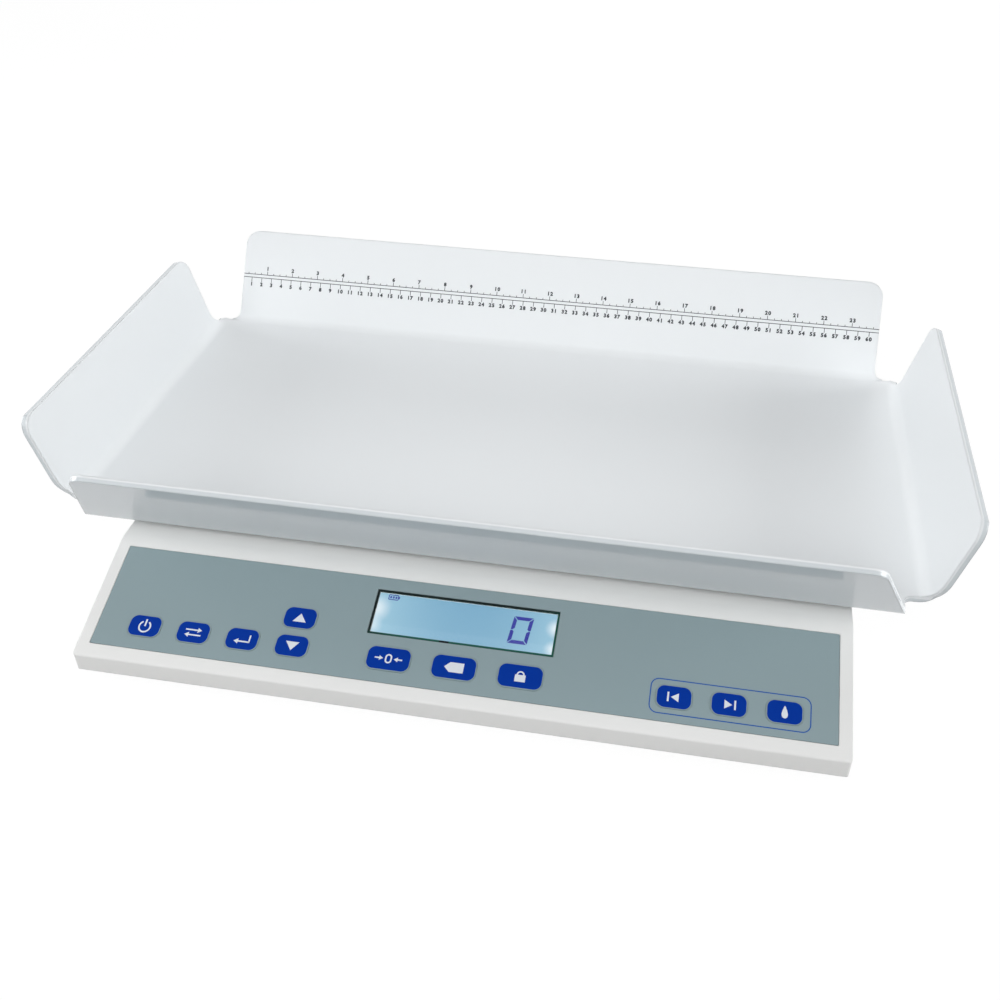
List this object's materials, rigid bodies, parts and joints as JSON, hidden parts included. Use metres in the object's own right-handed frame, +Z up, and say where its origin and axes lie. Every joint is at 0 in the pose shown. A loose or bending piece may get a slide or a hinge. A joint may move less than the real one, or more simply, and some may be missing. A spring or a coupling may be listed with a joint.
{
  "type": "infant weighing scale",
  "caption": "Infant weighing scale with a four-walled tray on a load-cell platform, a low housing and a sloping panel with a display and pressable keys.",
  "frame": {"origin": "on the table, under the middle of the whole object's width and depth", "axes": "+Z up, +X to the right of a person facing the control panel, -Y towards that person"},
  "size_m": [0.6894, 0.4558, 0.1352],
  "materials": {
    "tray_white": "satin white formed sheet",
    "housing_white": "fine matt moulding",
    "plate_grey": "matt moulding",
    "overlay_grey": "printed film, fine texture",
    "key_blue": "printed pads",
    "circuit_film": "polyester film",
    "contact_steel": "sprung, plated",
    "window_clear": "clear window",
    "black_plastic": "moulded",
    "display_glass": "liquid crystal cell",
    "diffuser_white": "light guide",
    "board_green": "solder mask",
    "chip_black": "moulded",
    "screw_steel": "zinc plated",
    "bracket_steel": "zinc and paint",
    "spacer_aluminium": "milled",
    "cell_aluminium": "milled",
    "rubber_grey": "moulded",
    "foot_rubber": "moulded",
    "box_white": "moulded",
    "battery_jacket": "jacketed steel can"
  },
  "bodies": {
    "base": {"load_cell": "cell_aluminium", "cell_bottom_bolts": "screw_steel", "cell_spacer": "spacer_aluminium", "overload_stops": "screw_steel", "upper_housing": "housing_white", "base_plate": "plate_grey", "housing_screws": "screw_steel", "rubber_feet": "foot_rubber", "foot_screws": "screw_steel", "panel_overlay": "overlay_grey", "switch_circuit": "circuit_film", "key_contacts": "contact_steel", "lcd_window": "window_clear", "lcd_bezel": "black_plastic", "lcd_glass": "display_glass", "lcd_backlight": "diffuser_white", "main_board": "board_green", "board_chips": "chip_black", "board_screws": "screw_steel", "battery_box": "box_white", "battery_contacts": "contact_steel", "batteries": "battery_jacket", "dc_inlet": "black_plastic"},
    "platform": {"tray": "tray_white", "tray_posts": "housing_white", "post_washers": "rubber_grey", "tray_screws": "screw_steel", "spider": "bracket_steel", "arm_spacer": "spacer_aluminium", "cell_top_bolts": "screw_steel"},
    "key_power": {"key_power": "key_blue"},
    "key_unit": {"key_unit": "key_blue"},
    "key_enter": {"key_enter": "key_blue"},
    "key_up": {"key_up": "key_blue"},
    "key_down": {"key_down": "key_blue"},
    "key_zero": {"key_zero": "key_blue"},
    "key_clear": {"key_clear": "key_blue"},
    "key_hold": {"key_hold": "key_blue"},
    "key_before_feed": {"key_before_feed": "key_blue"},
    "key_after_feed": {"key_after_feed": "key_blue"},
    "key_amount_fed": {"key_amount_fed": "key_blue"},
    "battery_door": {"battery_door": "plate_grey"}
  },
  "joints": [
    {"name": "platform_slide", "type": "slide", "parent": "base", "child": "platform", "axis": [0, 0, 1], "range_m": [-0.0005, 0], "stiffness_N_per_m": 150000, "springref_m": 0.00025, "deforming": ["load_cell"]},
    {"name": "key_power_press", "type": "slide", "parent": "base", "child": "key_power", "axis": [0, -0.342, 0.9397], "range_m": [-0.00035, 0], "stiffness_N_per_m": 2000, "springref_m": 0.0001},
    {"name": "key_unit_press", "type": "slide", "parent": "base", "child": "key_unit", "axis": [0, -0.342, 0.9397], "range_m": [-0.00035, 0], "stiffness_N_per_m": 2000, "springref_m": 0.0001},
    {"name": "key_enter_press", "type": "slide", "parent": "base", "child": "key_enter", "axis": [0, -0.342, 0.9397], "range_m": [-0.00035, 0], "stiffness_N_per_m": 2000, "springref_m": 0.0001},
    {"name": "key_up_press", "type": "slide", "parent": "base", "child": "key_up", "axis": [0, -0.342, 0.9397], "range_m": [-0.00035, 0], "stiffness_N_per_m": 2000, "springref_m": 0.0001},
    {"name": "key_down_press", "type": "slide", "parent": "base", "child": "key_down", "axis": [0, -0.342, 0.9397], "range_m": [-0.00035, 0], "stiffness_N_per_m": 2000, "springref_m": 0.0001},
    {"name": "key_zero_press", "type": "slide", "parent": "base", "child": "key_zero", "axis": [0, -0.342, 0.9397], "range_m": [-0.00035, 0], "stiffness_N_per_m": 2000, "springref_m": 0.0001},
    {"name": "key_clear_press", "type": "slide", "parent": "base", "child": "key_clear", "axis": [0, -0.342, 0.9397], "range_m": [-0.00035, 0], "stiffness_N_per_m": 2000, "springref_m": 0.0001},
    {"name": "key_hold_press", "type": "slide", "parent": "base", "child": "key_hold", "axis": [0, -0.342, 0.9397], "range_m": [-0.00035, 0], "stiffness_N_per_m": 2000, "springref_m": 0.0001},
    {"name": "key_before_feed_press", "type": "slide", "parent": "base", "child": "key_before_feed", "axis": [0, -0.342, 0.9397], "range_m": [-0.00035, 0], "stiffness_N_per_m": 2000, "springref_m": 0.0001},
    {"name": "key_after_feed_press", "type": "slide", "parent": "base", "child": "key_after_feed", "axis": [0, -0.342, 0.9397], "range_m": [-0.00035, 0], "stiffness_N_per_m": 2000, "springref_m": 0.0001},
    {"name": "key_amount_fed_press", "type": "slide", "parent": "base", "child": "key_amount_fed", "axis": [0, -0.342, 0.9397], "range_m": [-0.00035, 0], "stiffness_N_per_m": 2000, "springref_m": 0.0001},
    {"name": "battery_door_hinge", "type": "hinge", "parent": "base", "child": "battery_door", "pos_m": [-0.1363, -0.00134, 0.00725], "axis": [1, 0, 0], "range_deg": [0, 95]}
  ]
}
